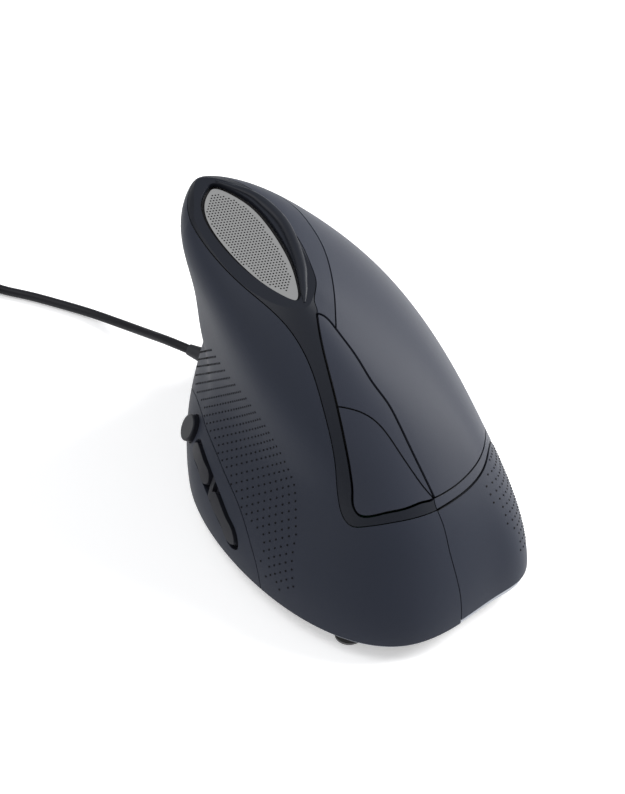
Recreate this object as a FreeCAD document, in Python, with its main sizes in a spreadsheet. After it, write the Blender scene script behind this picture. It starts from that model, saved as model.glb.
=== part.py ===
import FreeCAD, Part
import Sketcher
import math
import os

V = FreeCAD.Vector

doc = FreeCAD.newDocument("VerticalMouse")
sheet = doc.addObject("Spreadsheet::Sheet", "Sizes")

# Driving dimensions in millimetres
SIZES = [
    ("body_width", 76.0),
    ("body_length", 117.0),
    ("body_height", 68.9),
    ("wall", 1.8),
    ("crown_wall", 1.6),
    ("foot_height", 0.6),
    ("floor_wall", 1.6),
    ("base_top", 4.0),
    ("base_rim", 1.8),
    ("strip_height", 1.0),
    ("strip_step", 0.8),
    ("strip_width", 2.2),
    ("hairline", 0.25),
    ("panel_gap", 0.6),
    ("key_gap", 0.4),
    ("nose_gap", 0.7),
    ("running_gap", 0.3),
    ("carrier_wall", 1.6),
    ("post_radius", 3.2),
    ("screw_radius", 1.1),
    ("screw_head", 2.1),
    ("grille_length", 41.6),
    ("grille_width", 14.2),
    ("grille_sheet", 0.4),
    ("rim_width", 0.8),
    ("wheel_radius", 10.5),
    ("wheel_width", 6.6),
    ("tyre_depth", 2.0),
    ("axle_radius", 1.2),
    ("click_travel", 0.5),
    ("board_height", 6.0),
    ("board_thick", 1.6),
    ("board_width", 38.0),
    ("board_length", 58.0),
    ("side_setback", 19.38),
    ("side_length", 22.0),
    ("side_width", 35.0),
    ("switch_length", 12.8),
    ("switch_width", 5.8),
    ("switch_height", 6.5),
    ("plunger_radius", 1.0),
    ("plunger_proud", 0.8),
    ("thumb_setback", 10.44),
    ("thumb_board_length", 40.0),
    ("thumb_board_width", 9.0),
    ("thumb_board_thick", 1.2),
    ("tact_height", 2.2),
    ("tact_side", 4.5),
    ("thumb_proud", 0.5),
    ("dpi_radius", 3.5),
    ("dpi_proud", 1.8),
    ("sensor_length", 16.0),
    ("sensor_width", 10.0),
    ("sensor_height", 2.4),
    ("chip_side", 7.0),
    ("chip_height", 1.0),
    ("led_radius", 1.5),
    ("cable_diameter", 2.5),
    ("relief_length", 6.5),
    ("relief_radius", 2.2),
    ("coil_radius", 14.0),
    ("coil_pitch", 3.4),
    ("coil_step", 3.2),
    ("plug_length", 24.0),
    ("plug_width", 15.4),
    ("plug_height", 7.8),
    ("plug_shell_length", 18.8),
    ("plug_shell_width", 12.0),
    ("plug_shell_height", 4.5),
    ("plug_shell_wall", 0.35),
]
for line, (alias, value) in enumerate(SIZES, start=1):
    sheet.set("A%d" % line, alias)
    sheet.set("B%d" % line, str(value))
    sheet.setAlias("B%d" % line, alias)
doc.recompute()


def size(alias):
    return float(sheet.get(alias))


wall = size("wall")
run = size("running_gap")
foot = size("foot_height")
base_top = size("base_top")
shell_bottom = base_top + size("strip_height")
floor_top = foot + size("floor_wall")
board_z = size("board_height")
board_top = board_z + size("board_thick")

# The body is stretched from the proportions that its sections were drawn in
DRAWN = V(76.0, 117.0, 68.9)
stretch = V(size("body_width") / DRAWN.x, size("body_length") / DRAWN.y, size("body_height") / DRAWN.z)

parts = []


def at(x, y, z):
    """A place on the body, drawn at its nominal proportions."""
    return V(x * stretch.x, y * stretch.y, z * stretch.z)


def keep(name, shape, placement=None):
    """A sub-part whose form neither a sketch nor a primitive gives."""
    piece = doc.addObject("Part::Feature", name)
    piece.Label = name
    piece.Shape = shape
    if placement:
        piece.Placement = placement
    parts.append(piece)
    return piece


def register(piece, name, placement=None):
    piece.Label = name
    if placement:
        piece.Placement = placement
    parts.append(piece)
    return piece


def frame(origin, x_axis, z_axis):
    """Placement whose own X and Z point along two given directions."""
    y_axis = z_axis.cross(x_axis)
    return FreeCAD.Placement(origin, FreeCAD.Rotation(x_axis, y_axis, z_axis, "ZXY"))


# Body form: nine closed sections from the base to the crown.
# Each has its height and slope along Y, its left, front, right and rear
# extremes, and how full its four corners are.
SECTIONS = [
    (2.0, 0.00, (-38, 6), (-8, 58), (38, -30), (1, -59), (0.70, 0.74, 0.67, 0.68)),
    (5.0, 0.00, (-38, 6), (-8, 58), (38, -30), (1, -59), (0.70, 0.74, 0.67, 0.68)),
    (12.0, 0.00, (-37, 8), (-8, 58), (37.4, -28), (2, -56), (0.70, 0.74, 0.68, 0.69)),
    (21.0, 0.00, (-32, 14), (-9, 57.5), (34.9, -22), (3, -50), (0.72, 0.74, 0.70, 0.70)),
    (32.0, 0.03, (-29.5, 28), (-10, 57), (30.2, -12), (3, -40.5), (0.74, 0.74, 0.72, 0.68)),
    (43.0, 0.07, (-30.5, 30), (-13, 55.5), (22.4, 0), (0, -28), (0.75, 0.72, 0.74, 0.70)),
    (51.0, 0.11, (-32, 31), (-16, 53.5), (12.6, 9), (-4, -17), (0.75, 0.70, 0.74, 0.70)),
    (57.0, 0.16, (-32.5, 33), (-20, 50.5), (2.2, 12.5), (-8, -6), (0.74, 0.69, 0.74, 0.69)),
    (60.0, 0.20, (-29.3, 35), (-23.4, 46), (-4.7, 12.7), (-10.6, 2), (0.72, 0.665, 0.72, 0.665)),
]


def corner(side, end, fullness):
    """The point of a section between its side extreme and its end extreme."""
    return (end[0] + (side[0] - end[0]) * fullness, end[1] + (side[1] - end[1]) * (1 - fullness))


def section_wire(section, inset=0.0, drop=0.0, height=None):
    z, slope, left, front, right, rear, full = section
    left = (left[0] + inset, left[1])
    right = (right[0] - inset, right[1])
    front = (front[0], front[1] - inset)
    rear = (rear[0], rear[1] + inset)
    outline = [
        left, corner(left, front, full[0]), front, corner(right, front, full[1]),
        right, corner(right, rear, full[2]), rear, corner(left, rear, full[3]),
    ]
    points = []
    for x, y in outline:
        place = at(x, y, z - drop + slope * y)
        if height is not None:
            place.z = height
        points.append(place)
    curve = Part.BSplineCurve()
    curve.interpolate(Points=points, PeriodicFlag=True, Parameters=[i / 8.0 for i in range(9)])
    return Part.Wire([curve.toShape()])


def form(inset=0.0, drop=0.0):
    """The whole body, drawn in by an inset and let down by a drop."""
    return Part.makeLoft([section_wire(row, inset, drop) for row in SECTIONS], True, False)


def base_ring(levels):
    """A low closed form through the bottom outline, as (height, inset) levels."""
    wires = [section_wire(SECTIONS[1], inset, 0.0, height) for height, inset in levels]
    return Part.makeLoft(wires, True, len(levels) == 2)


def block(low, high):
    return Part.makeBox(high[0] - low[0], high[1] - low[1], high[2] - low[2], V(*low))


outer = form()
inner = form(wall, size("crown_wall"))
post_top = form(0.9, 0.8)
skin = max(outer.Faces, key=lambda face: face.Area).Surface
core = at(-8, 5, 30)


def on_skin(place):
    """The nearest place on the body's side, and the outward direction there."""
    u, v = skin.parameter(place)
    normal = skin.normal(u, v)
    found = skin.value(u, v)
    if normal.dot(found - core) < 0:
        normal = normal * -1
    return found, normal


# Right wall frame: along is forward, up lies up the wall, out leaves it
WALL_UP = V(-0.6, 0, 0.8)
WALL_OUT = V(0.8, 0, 0.6)


def wall_place(along, up, out):
    return V(0, along, 0) + WALL_UP * up + WALL_OUT * out


def right_wall(along, up):
    """The place on the right wall seen square on at (along, up)."""
    start = wall_place(along, up, 0)
    hits = Part.Line(start, start + WALL_OUT).intersectCS(skin)[0]
    places = [V(hit.X, hit.Y, hit.Z) for hit in hits]
    return max(places, key=lambda place: place.dot(WALL_OUT))


def ribbon(places, gap, inward=5.0, outward=3.0, step=3.0):
    """A thin solid square to the skin along a seam, as wide as the gap."""
    path = Part.BSplineCurve()
    path.interpolate(Points=[on_skin(place)[0] for place in places])
    count = max(4, int(path.length() / step))
    slices = []
    for index in range(count + 1):
        along = path.parameterAtDistance(path.length() * index / count, path.FirstParameter)
        tangent = path.tangent(along)[0]
        found, normal = on_skin(path.value(along))
        across = tangent.cross(normal)
        across.normalize()
        across = across * (gap / 2)
        low = found - normal * inward
        high = found + normal * outward
        corners = [low - across, low + across, high + across, high - across, low - across]
        slices.append(Part.makePolygon(corners))
    return Part.makeLoft(slices, True, False)


# Seams of the housing, as places on its skin
KEY_CORNER = (12.8, -38.4, 31.3)
STRIP_CORNER = (12.9, -40.6, 29.3)
TRIM_TOP = (-6.5, 0.5, 59.4)
LOOP_SEAM = [
    STRIP_CORNER, (6.7, -42.1, 29.4), (-0.6, -41.8, 28.8), (-5.7, -40.4, 27.7), (-7.8, -39.1, 27.5),
    (-8.9, -36.8, 28.6), (-8.8, -29.2, 36.5), (-9.4, -19.2, 46.3), (-10.9, -9.4, 53.5),
    (-14.3, -0.8, 58.2), (-21.5, 10.1, 61.9), (-27.9, 23.8, 64.4), (-30.2, 35.8, 66),
    (-28.8, 43, 67.2), (-24, 46.8, 68.2), (-18.5, 45.6, 68), (-13.2, 39.8, 67), (-8.4, 30, 65.3),
    (-5.4, 20.5, 63.6), (-4.9, 14.9, 62.6), (-5.3, 10.1, 61.6), (-6.1, 5, 60.6), TRIM_TOP,
]
PANEL_SEAM = [
    TRIM_TOP, (-6.9, -4.7, 56.8), (-6.4, -16.3, 49.4), (-5.9, -27.1, 40.6), (-6.2, -35.5, 31.8),
    (-6.1, -37.6, 29.9), (-5.0, -38.6, 29.5), (-0.2, -40, 30.5), (4.3, -40.3, 31.1),
    (9.3, -39.4, 31.4), KEY_CORNER,
]
WEDGE_TOP = (-2.7, -3.1, 56.9)
WEDGE_SEAM = [
    TRIM_TOP, (-4.2, -0.7, 58.3), WEDGE_TOP, (0.8, -9.6, 53), (3.5, -15.8, 49.1), (5.6, -19.2, 46.7),
    (7.7, -24.4, 42.9), (9.6, -30, 38.6), (11.3, -34.5, 34.9), KEY_CORNER,
]
PALM_SEAM = [
    (-6.3, -19.3, 47.1), (-2.6, -20.6, 46.5), (0.9, -22.5, 45.2), (3.7, -25.4, 43.0),
    (6.2, -29.6, 39.7), (8.4, -33.2, 36.4), (10.6, -36.4, 33.4), (12.6, -38.6, 31.3),
]
CREST_SEAM = [
    WEDGE_TOP, (-1.4, 3.3, 58.8), (-0.5, 9, 59.9), (0.2, 16.7, 60.6), (0, 24.9, 61.2),
    (-1.4, 32, 61.9), (-3.1, 37.4, 62.4), (-6, 42.3, 63), (-9.5, 47.5, 61), (-11, 51.5, 56),
    (-10.5, 54, 49), (-8, 56, 38), (-6, 57.2, 25), (-5, 58, 12), (-5, 58.5, 2),
]
REAR_SEAM = [
    (12.8, -38.2, 31.5), STRIP_CORNER, (13.6, -42.5, 27.4), (14.4, -46.9, 22.1),
    (15.1, -49.4, 18.4), (16, -53, 11.1), (16.5, -57, 4), (16.6, -57.5, 2),
]
SKIRT_SEAM = [
    (-29.5, 41.5, 2), (-31.5, 37, 9), (-32.8, 31.5, 14), (-32.9, 25.7, 17.2), (-32.7, 14.9, 19.7),
    (-32.2, 6.5, 20), (-31.5, -1, 19.7), (-30.8, -7.9, 19), (-29.8, -15.5, 17.9),
    (-29.3, -20.8, 16.4), (-28.9, -26.8, 13.4), (-28.5, -31, 9.9), (-28.1, -33.4, 5.1),
    (-28.1, -34.2, 2),
]
# Seams of the right wall, as (along, up) in its own frame
KEY_SLOT = [
    (-36.4, 14.7), (-33.3, 12), (-28.9, 9.5), (-23.3, 7.3), (-17.4, 4.4), (-11.5, 0.5), (-5, -1.2),
    (4, -0.6), (16, 3), (28, 6.6), (37, 8.2), (44, 9.4), (50.5, 12.5),
]
LOWER_SLOT = [
    (-38.1, 12.8), (-34.6, 9.8), (-30.4, 7.7), (-24.4, 5.8), (-19, 2.5), (-14.5, -2), (-8, -6.6),
    (0, -9.4), (10, -10), (20, -9), (30, -6.5), (40, -2.5), (46, 0.5), (51, 3.5),
]
NOSE_TOP = [(-10.6, 53.8, 49.5), (-2, 54.9, 43.5), (6, 53.8, 36)]
NOSE_SIDE = [(50.8, 20), (50.5, 12.5), (50.6, 8), (51, 3.5)]


def drawn(places):
    return [at(*place) for place in places]


def along_wall(pairs):
    return [right_wall(along * stretch.y, up) for along, up in pairs]


seams = [
    (drawn(LOOP_SEAM), size("hairline")),
    (drawn(PANEL_SEAM), size("panel_gap")),
    (drawn(WEDGE_SEAM), size("panel_gap")),
    (drawn(PALM_SEAM), size("key_gap")),
    (drawn(CREST_SEAM), size("key_gap")),
    (drawn(REAR_SEAM), size("hairline")),
    (drawn(SKIRT_SEAM), size("hairline")),
    (drawn([KEY_CORNER]) + along_wall(KEY_SLOT), size("key_gap")),
    (drawn([STRIP_CORNER]) + along_wall(LOWER_SLOT), size("panel_gap")),
    (drawn(NOSE_TOP) + along_wall(NOSE_SIDE), size("nose_gap")),
]
below = block((-100, -100, -5), (100, 100, shell_bottom))
housing = outer.cut([inner, below]).cut([ribbon(places, gap) for places, gap in seams])


def piece_at(place, depth=0.8):
    """The piece of the housing under one place on its skin."""
    found, normal = on_skin(place)
    inside = found - normal * depth
    for solid in housing.Solids:
        if solid.isInside(inside, 0.01, True):
            return solid
    raise ValueError("no piece of the housing at %s" % place)


left_wall = piece_at(at(-20, -20, 31))
right_rear = piece_at(at(30, -40, 15))
trim = piece_at(at(-7.5, -25, 41.5))
wedge = piece_at(at(-1, -14, 50.5))
palm = piece_at(at(-1, -32, 37))
index_key = piece_at(at(14, 0, 50))
middle_key = piece_at(right_wall(10, -4))
skirt = piece_at(at(-36, 5, 12))


def post(x, y, low, high, radius=None):
    radius = radius or size("post_radius")
    return Part.makeCylinder(radius, high - low, V(x, y, low))


def screw_hole(x, y, low, high):
    return Part.makeCylinder(size("screw_radius"), high - low, V(x, y, low))


# Screws that hold the shells to the base: x, y, post height, web heading
SHELL_SCREWS = {
    "left_front": (-26.2, 36.6, 27, 120),
    "left_rear": (-14, -38, 40, 250),
    "right_rear": (23, -36, 22, 300),
    "right_front": (12.5, 40.5, 11, 60),
    "skirt_front": (-28.5, 25.5, 13, 180),
    "skirt_rear": (-25.3, -23.2, 12, 200),
}
shell_screws = {
    name: (x * stretch.x, y * stretch.y, high * stretch.z, heading)
    for name, (x, y, high, heading) in SHELL_SCREWS.items()
}
SCREW_DEPTH = 6.0
STRIP_INSET = 0.8
strip_back = STRIP_INSET + size("strip_width") + run
step_top = shell_bottom + size("strip_step")
base_room = base_ring([
    (floor_top - 0.1, strip_back + 2.6), (floor_top + 0.8, strip_back + 1.4),
    (base_top + 0.1, strip_back), (step_top + 0.1, strip_back),
])
base_zone = block((-100, -100, -5), (100, 100, step_top + 0.1)).cut(base_room)


def with_post(shell, name):
    """A shell with the webbed post that its base screw bites into."""
    x, y, high, heading = shell_screws[name]
    made = post(x, y, floor_top, high)
    web = Part.makeBox(8, 1.6, high - step_top - 0.4, V(0, -0.8, 0))
    web.Placement = FreeCAD.Placement(V(x, y, step_top + 0.4), FreeCAD.Rotation(V(0, 0, 1), heading))
    made = made.fuse(web).common(post_top).cut(base_zone)
    return shell.fuse(made).cut(screw_hole(x, y, floor_top - 1, floor_top + SCREW_DEPTH))


# Cable exit through the front left of the left shell
EXIT = V(-24.4, 48.6, 8.0)
exit_point = at(EXIT.x, EXIT.y, EXIT.z)
exit_axis = V(-0.7, 0.714, 0)
exit_axis.normalize()
relief_radius = size("relief_radius")
exit_hole = Part.makeCylinder(relief_radius + 0.1, 12, exit_point - exit_axis * 6, exit_axis)

left_shell = with_post(with_post(left_wall, "left_front"), "left_rear").cut(exit_hole)
keep("left_shell", left_shell)

right_cut = block((-100, -100, -5), (100, 100, step_top))
right_shell = with_post(with_post(right_rear.cut(right_cut), "right_rear"), "right_front")
keep("right_shell", right_shell)

# Thumb side frame: rear is backward, rise lies up the flare, off leaves it
FLARE_OFF = V(-0.871, 0, 0.491)
FLARE_RISE = V(0.491, 0, 0.871)


def flare_place(along, rise, off):
    return V(0, along, 0) + FLARE_RISE * rise + FLARE_OFF * off


def flare_frame(along, rise, off):
    return frame(flare_place(along, rise, off), V(0, -1, 0), FLARE_OFF)


def flare_prism(outline, low, high):
    """A prism square to the flare, from an outline of (along, rise) points."""
    curve = Part.BSplineCurve()
    places = [flare_place(along * stretch.y, rise, low) for along, rise in outline]
    curve.interpolate(Points=places, PeriodicFlag=True)
    return Part.Face(Part.Wire([curve.toShape()])).extrude(FLARE_OFF * (high - low))


def key_outline(front, rear, grow=0.0):
    """A long rounded key that follows the bend of the flare."""
    low, high = -5.3 - grow, -2.3 + grow
    front, rear = front + grow, rear - grow
    tip = (high - low) / 2
    count = max(2, round((front - rear) / 5))
    stations = [front - tip + (rear - front + 2 * tip) * index / count for index in range(count + 1)]
    outline = [(along, high + key_bend(along)) for along in stations]
    outline.append((rear, (low + high) / 2 + key_bend(rear)))
    outline += [(along, low + key_bend(along)) for along in reversed(stations)]
    outline.append((front, (low + high) / 2 + key_bend(front)))
    return outline


def key_bend(along):
    """How far the row of keys drops towards its rear end."""
    return -0.0042 * max(0.0, 4.0 - along) ** 2


def flare_skin(along, rise):
    """How far out the skin lies over a place on the flare."""
    return on_skin(flare_place(along, rise, 38 * stretch.x))[0].dot(FLARE_OFF)


FORWARD_KEY = (8.6, -5.2)
BACK_KEY = (-8.2, -22.6)
THUMB_SLOT = (9.0, -23.0)
KEY_STEMS = {"forward_button": (FORWARD_KEY, 2.0), "back_button": (BACK_KEY, -14.0)}
DPI_PLACE = (15.0, -4.0)
thumb_skin = form(-size("thumb_proud"), -size("thumb_proud") / 2)
bezel_top = form(1.1, 0.6)
bezel_low = form(2.7, 1.4)
THUMB_RISE = -4.5
thumb_middle = 1.0 * stretch.y
thumb_depth = flare_skin(thumb_middle, THUMB_RISE) - size("thumb_setback")
thumb_board_top = thumb_depth + size("thumb_board_thick")
stem_low = thumb_board_top + size("tact_height") + size("click_travel") + 0.1
deep_cut = thumb_depth - 4
far_cut = thumb_depth + 22
STEM_RADIUS = 1.2


def local_box(place, low, high):
    """A box given by its corners in a frame of its own."""
    made = Part.makeBox(high[0] - low[0], high[1] - low[1], high[2] - low[2], V(*low))
    made.Placement = place.multiply(made.Placement)
    return made


def local_rod(place, radius, low, high):
    made = Part.makeCylinder(radius, high - low, V(0, 0, low))
    made.Placement = place.multiply(made.Placement)
    return made


def thumb_key(span, stem):
    blank = flare_prism(key_outline(*span), deep_cut, far_cut)
    cap = thumb_skin.cut(bezel_low).common(blank)
    stem_frame = flare_frame(stem * stretch.y, -3.8 + key_bend(stem), 0)
    foot_rod = local_rod(stem_frame, STEM_RADIUS, stem_low, thumb_depth + 12)
    return cap.fuse(foot_rod.common(thumb_skin.common(blank)))


for name, (span, stem) in KEY_STEMS.items():
    keep(name, thumb_key(span, stem))

key_holes = [
    flare_prism(key_outline(span[0], span[1], run), deep_cut, far_cut) for span in (FORWARD_KEY, BACK_KEY)
]
slot_cut = flare_prism(key_outline(*THUMB_SLOT, 0.8), thumb_board_top + 0.1, far_cut)
bezel_blank = flare_prism(key_outline(*THUMB_SLOT, 0.78), deep_cut, far_cut)
bridge_frame = flare_frame((FORWARD_KEY[1] + BACK_KEY[0]) / 2 * stretch.y, -4.3, 0)
bridge_frame.Rotation = bridge_frame.Rotation.multiply(FreeCAD.Rotation(V(0, 0, 1), 24))
bridge_box = local_box(bridge_frame, (-0.7, -4, deep_cut), (0.7, 4, far_cut))
bridge = outer.cut(bezel_low).common(bezel_blank).common(bridge_box)
bezel = bezel_top.cut(bezel_low).common(bezel_blank).fuse(bridge).cut(key_holes)
keep("thumb_bezel", bezel)

dpi_frame = flare_frame(DPI_PLACE[0] * stretch.y, DPI_PLACE[1], 0)
dpi_radius = size("dpi_radius")
dpi_seat = flare_skin(DPI_PLACE[0] * stretch.y, DPI_PLACE[1])
dpi_hole = local_rod(dpi_frame, dpi_radius + run, stem_low + 1, far_cut)
dpi_cap = local_rod(dpi_frame, dpi_radius, dpi_seat - 3.6, dpi_seat + size("dpi_proud"))
dpi_cap = dpi_cap.makeFillet(0.4, [max(dpi_cap.Edges, key=lambda edge: edge.CenterOfMass.dot(FLARE_OFF))])
dpi_flange = local_rod(dpi_frame, dpi_radius + 0.8, dpi_seat - 4.3, dpi_seat - 3.6)
dpi_stem = local_rod(dpi_frame, STEM_RADIUS, stem_low, dpi_seat - 4.3)
keep("dpi_button", dpi_cap.fuse([dpi_flange, dpi_stem]))

half_board = size("thumb_board_length") / 2
board_bosses = [
    local_rod(flare_frame(thumb_middle + along, rise, 0), 1.3, thumb_board_top, thumb_depth + 12)
    for along, rise in ((half_board - 1.0, -7.6), (0.8 - half_board, -1.7))
]
skirt_shell = with_post(with_post(skirt, "skirt_front"), "skirt_rear")
skirt_shell = skirt_shell.fuse([boss.common(post_top) for boss in board_bosses])
keep("thumb_skirt", skirt_shell.cut([slot_cut, dpi_hole]))

# Grille in the flat crown
crown_slope = SECTIONS[-1][1] * stretch.z / stretch.y
crown_normal = V(0, -crown_slope, 1)
crown_normal.normalize()
grille_axis = V(-0.336, 0.942, 0.942 * crown_slope)
grille_axis.normalize()
crown_frame = frame(at(-17, 24, 64.8), grille_axis, crown_normal)
EGG = [(1, 0), (0.84, 0.565), (0.29, 0.99), (-0.335, 0.84), (-0.815, 0.395), (-1, 0)]


def egg(shrink, low, high):
    """A prism of the grille's egg outline, drawn in by a margin."""
    half_length = size("grille_length") / 2 - shrink
    half_width = size("grille_width") / 2 - shrink
    upper = [V(along * half_length, across * half_width, low) for along, across in EGG]
    lower = [V(place.x, -place.y, low) for place in upper[-2:0:-1]]
    curve = Part.BSplineCurve()
    curve.interpolate(Points=upper + lower, PeriodicFlag=True)
    made = Part.Face(Part.Wire([curve.toShape()])).extrude(V(0, 0, high - low))
    made.Placement = crown_frame
    return made


rim_width = size("rim_width")
crown_depth = size("crown_wall") * crown_normal.z
keep("spine_frame", trim.cut(egg(-0.15, -8, 6)))
rim_solid = egg(0, -crown_depth, -0.1).cut(egg(rim_width, -6, 6))
keep("grille_rim", rim_solid)
keep("grille", egg(rim_width + 0.02, -crown_depth, size("grille_sheet") - crown_depth))
keep("spine_panel", wedge)
keep("palm_panel", palm)

# Inner carrier that backs the trim, the grille and the panels
SPINE_OUT = V(0, -0.6, 0.8)
CARRIER_OUTLINE = [
    (-11.5, -38, 28), (-12.2, -26, 39), (-13, -14, 49), (-17.6, -0.8, 57), (-24.5, 10, 60),
    (-30, 23.8, 63), (-31, 35.8, 65.5), (-27, 45.8, 68), (-19.5, 46.6, 68), (-12.4, 37.6, 67),
    (-4.6, 27, 64.8), (-2.9, 14, 62.4), (-4.2, 1, 59.5), (-1.4, -9.6, 53), (2.8, -18.6, 47),
    (6.6, -27.6, 40.5), (8.6, -34.5, 34.9), (5, -38.2, 31.6), (-5, -38, 30),
]
carrier_places = [place - SPINE_OUT * (place.dot(SPINE_OUT) - 15) for place in drawn(CARRIER_OUTLINE)]
carrier_curve = Part.BSplineCurve()
carrier_curve.interpolate(Points=carrier_places, PeriodicFlag=True)
carrier_blank = Part.Face(Part.Wire([carrier_curve.toShape()])).extrude(SPINE_OUT * 60)
lining = wall + 0.02
crown_lining = size("crown_wall") + 0.02
thick = size("carrier_wall")
lined = form(lining, crown_lining).cut(form(lining + thick, crown_lining + thick))
KEY_DIP = V(-0.5, -0.05, -0.75)
dipped_key = index_key.translated(KEY_DIP)
keep("spine_carrier", lined.common(carrier_blank).cut(dipped_key))

# Scroll wheel between the two finger keys, square to the skin there
wheel_radius = size("wheel_radius")
half_wheel = size("wheel_width") / 2
WHEEL_AXIS = V(-0.195, 0, 0.981)
WHEEL_OUT = V(0.981, 0, 0.195)
wheel_centre = at(14.2, 36.0, 24.6)
wheel_frame = frame(wheel_centre, V(0, 1, 0), WHEEL_OUT)
wall_frame = frame(V(0, 0, 0), V(0, 1, 0), WALL_OUT)


def wall_box(low, high):
    return local_box(wall_frame, low, high)


def wall_rod(along, up, radius, low, high):
    return local_rod(frame(wall_place(along, up, 0), V(0, 1, 0), WALL_OUT), radius, low, high)


def wheel_box(low, high):
    return local_box(wheel_frame, low, high)


wheel_notch = wheel_box((-6.8, -half_wheel - 1.0, -4), (wheel_radius + 0.9, half_wheel + 1.0, 20))

# Finger keys with the bosses that press the switches
SWITCHES = {"index": (13.0, 20.0), "middle": (7.0, -3.8)}
index_along, index_up = SWITCHES["index"]
side_depth = right_wall(index_along * stretch.y, index_up).dot(WALL_OUT) - size("side_setback")
switch_low = side_depth + size("board_thick")
switch_top = switch_low + size("switch_height")
plunger_top = switch_top + size("plunger_proud")
for finger, blank in (("index", index_key), ("middle", middle_key)):
    along, up = SWITCHES[finger]
    boss = wall_rod(along * stretch.y, up, 2.0, plunger_top, 60).common(post_top)
    keep(finger + "_button", blank.cut(wheel_notch).fuse(boss))


def bound(piece, **cells):
    """Ties an object's properties to cells of the sheet."""
    for name, formula in cells.items():
        piece.setExpression(name, formula)
    return piece


def sketch_on(body, name, plane="XY_Plane"):
    sketch = body.newObject("Sketcher::SketchObject", name)
    support = [item for item in body.Origin.OriginFeatures if item.Role == plane][0]
    sketch.AttachmentSupport = (support, [""])
    sketch.MapMode = "FlatFace"
    return sketch


def rectangle(sketch, length, width):
    """A centred rectangle whose two sides are tied to cells."""
    corners = [V(-2, -1, 0), V(2, -1, 0), V(2, 1, 0), V(-2, 1, 0)]
    for index in range(4):
        sketch.addGeometry(Part.LineSegment(corners[index], corners[(index + 1) % 4]), False)
    for index in range(4):
        sketch.addConstraint(Sketcher.Constraint("Coincident", index, 2, (index + 1) % 4, 1))
    sketch.addConstraint(Sketcher.Constraint("Horizontal", 0))
    sketch.addConstraint(Sketcher.Constraint("Horizontal", 2))
    sketch.addConstraint(Sketcher.Constraint("Vertical", 1))
    sketch.addConstraint(Sketcher.Constraint("Vertical", 3))
    sketch.addConstraint(Sketcher.Constraint("Symmetric", 0, 1, 1, 2, -1, 1))
    side = sketch.addConstraint(Sketcher.Constraint("DistanceX", 0, 1, 0, 2, 4))
    end = sketch.addConstraint(Sketcher.Constraint("DistanceY", 1, 1, 1, 2, 2))
    sketch.setExpression("Constraints[%d]" % side, length)
    sketch.setExpression("Constraints[%d]" % end, width)


def circle(sketch, radius, x="0", y="0"):
    index = sketch.addGeometry(Part.Circle(V(1, 1, 0), V(0, 0, 1), 1), False)
    across = sketch.addConstraint(Sketcher.Constraint("DistanceX", -1, 1, index, 3, 1))
    along = sketch.addConstraint(Sketcher.Constraint("DistanceY", -1, 1, index, 3, 1))
    ring = sketch.addConstraint(Sketcher.Constraint("Radius", index, 1))
    sketch.setExpression("Constraints[%d]" % across, x)
    sketch.setExpression("Constraints[%d]" % along, y)
    sketch.setExpression("Constraints[%d]" % ring, radius)


def padded_body(name, length, width, height, placement, holes=()):
    """A rectangular block with round holes through it, made as a body."""
    body = doc.addObject("PartDesign::Body", name)
    outline = sketch_on(body, name + "_outline")
    rectangle(outline, length, width)
    for x, y, radius in holes:
        circle(outline, radius, x, y)
    pad = body.newObject("PartDesign::Pad", name + "_pad")
    pad.Profile = outline
    pad.setExpression("Length", height)
    body.Tip = pad
    return register(body, name, placement)


# Board posts and screws stand a margin inside the main board's four corners
BOARD_CENTRE = (-1.0, 3.0)
POST_MARGIN = (3.0, 4.0)
CORNERS = [(side, end) for side in (-1, 1) for end in (-1, 1)]
board_posts_at = [
    (
        BOARD_CENTRE[0] + side * (size("board_width") / 2 - POST_MARGIN[0]),
        BOARD_CENTRE[1] + end * (size("board_length") / 2 - POST_MARGIN[1]),
    )
    for side, end in CORNERS
]
board_holes = [
    (
        "%d * (Sizes.board_width / 2 - %g)" % (side, POST_MARGIN[0]),
        "%d * (Sizes.board_length / 2 - %g)" % (end, POST_MARGIN[1]), "Sizes.screw_radius + 0.1",
    )
    for side, end in CORNERS
]
SENSOR = (-3.0, 8.0)
LENS_RADIUS = 2.9
sensor_hole = tuple(
    "%g" % value for value in (SENSOR[0] - BOARD_CENTRE[0], SENSOR[1] - BOARD_CENTRE[1], LENS_RADIUS + 0.3)
)
flat = FreeCAD.Rotation()
padded_body(
    "main_board", "Sizes.board_width", "Sizes.board_length", "Sizes.board_thick",
    FreeCAD.Placement(V(BOARD_CENTRE[0], BOARD_CENTRE[1], board_z), flat), board_holes + [sensor_hole],
)
padded_body(
    "sensor_chip", "Sizes.sensor_width", "Sizes.sensor_length", "Sizes.sensor_height",
    FreeCAD.Placement(V(SENSOR[0], SENSOR[1], board_top), flat),
)
padded_body(
    "controller_chip", "Sizes.chip_side", "Sizes.chip_side", "Sizes.chip_height",
    FreeCAD.Placement(V(3, -12, board_top), flat),
)
padded_body(
    "cable_socket", "7.5", "4.5", "4.5", FreeCAD.Placement(V(-10.5, 25.5, board_top), flat),
)
side_length = size("side_length")
side_middle = 11.5 * stretch.y
SIDE_UP = 9.5
side_frame = frame(wall_place(side_middle, SIDE_UP, side_depth), V(0, 1, 0), WALL_OUT)
padded_body("side_board", "Sizes.side_length", "Sizes.side_width", "Sizes.board_thick", side_frame)

thumb_board_frame = flare_frame(thumb_middle, THUMB_RISE, thumb_depth)
padded_body(
    "thumb_board", "Sizes.thumb_board_length", "Sizes.thumb_board_width", "Sizes.thumb_board_thick",
    thumb_board_frame,
)

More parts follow.
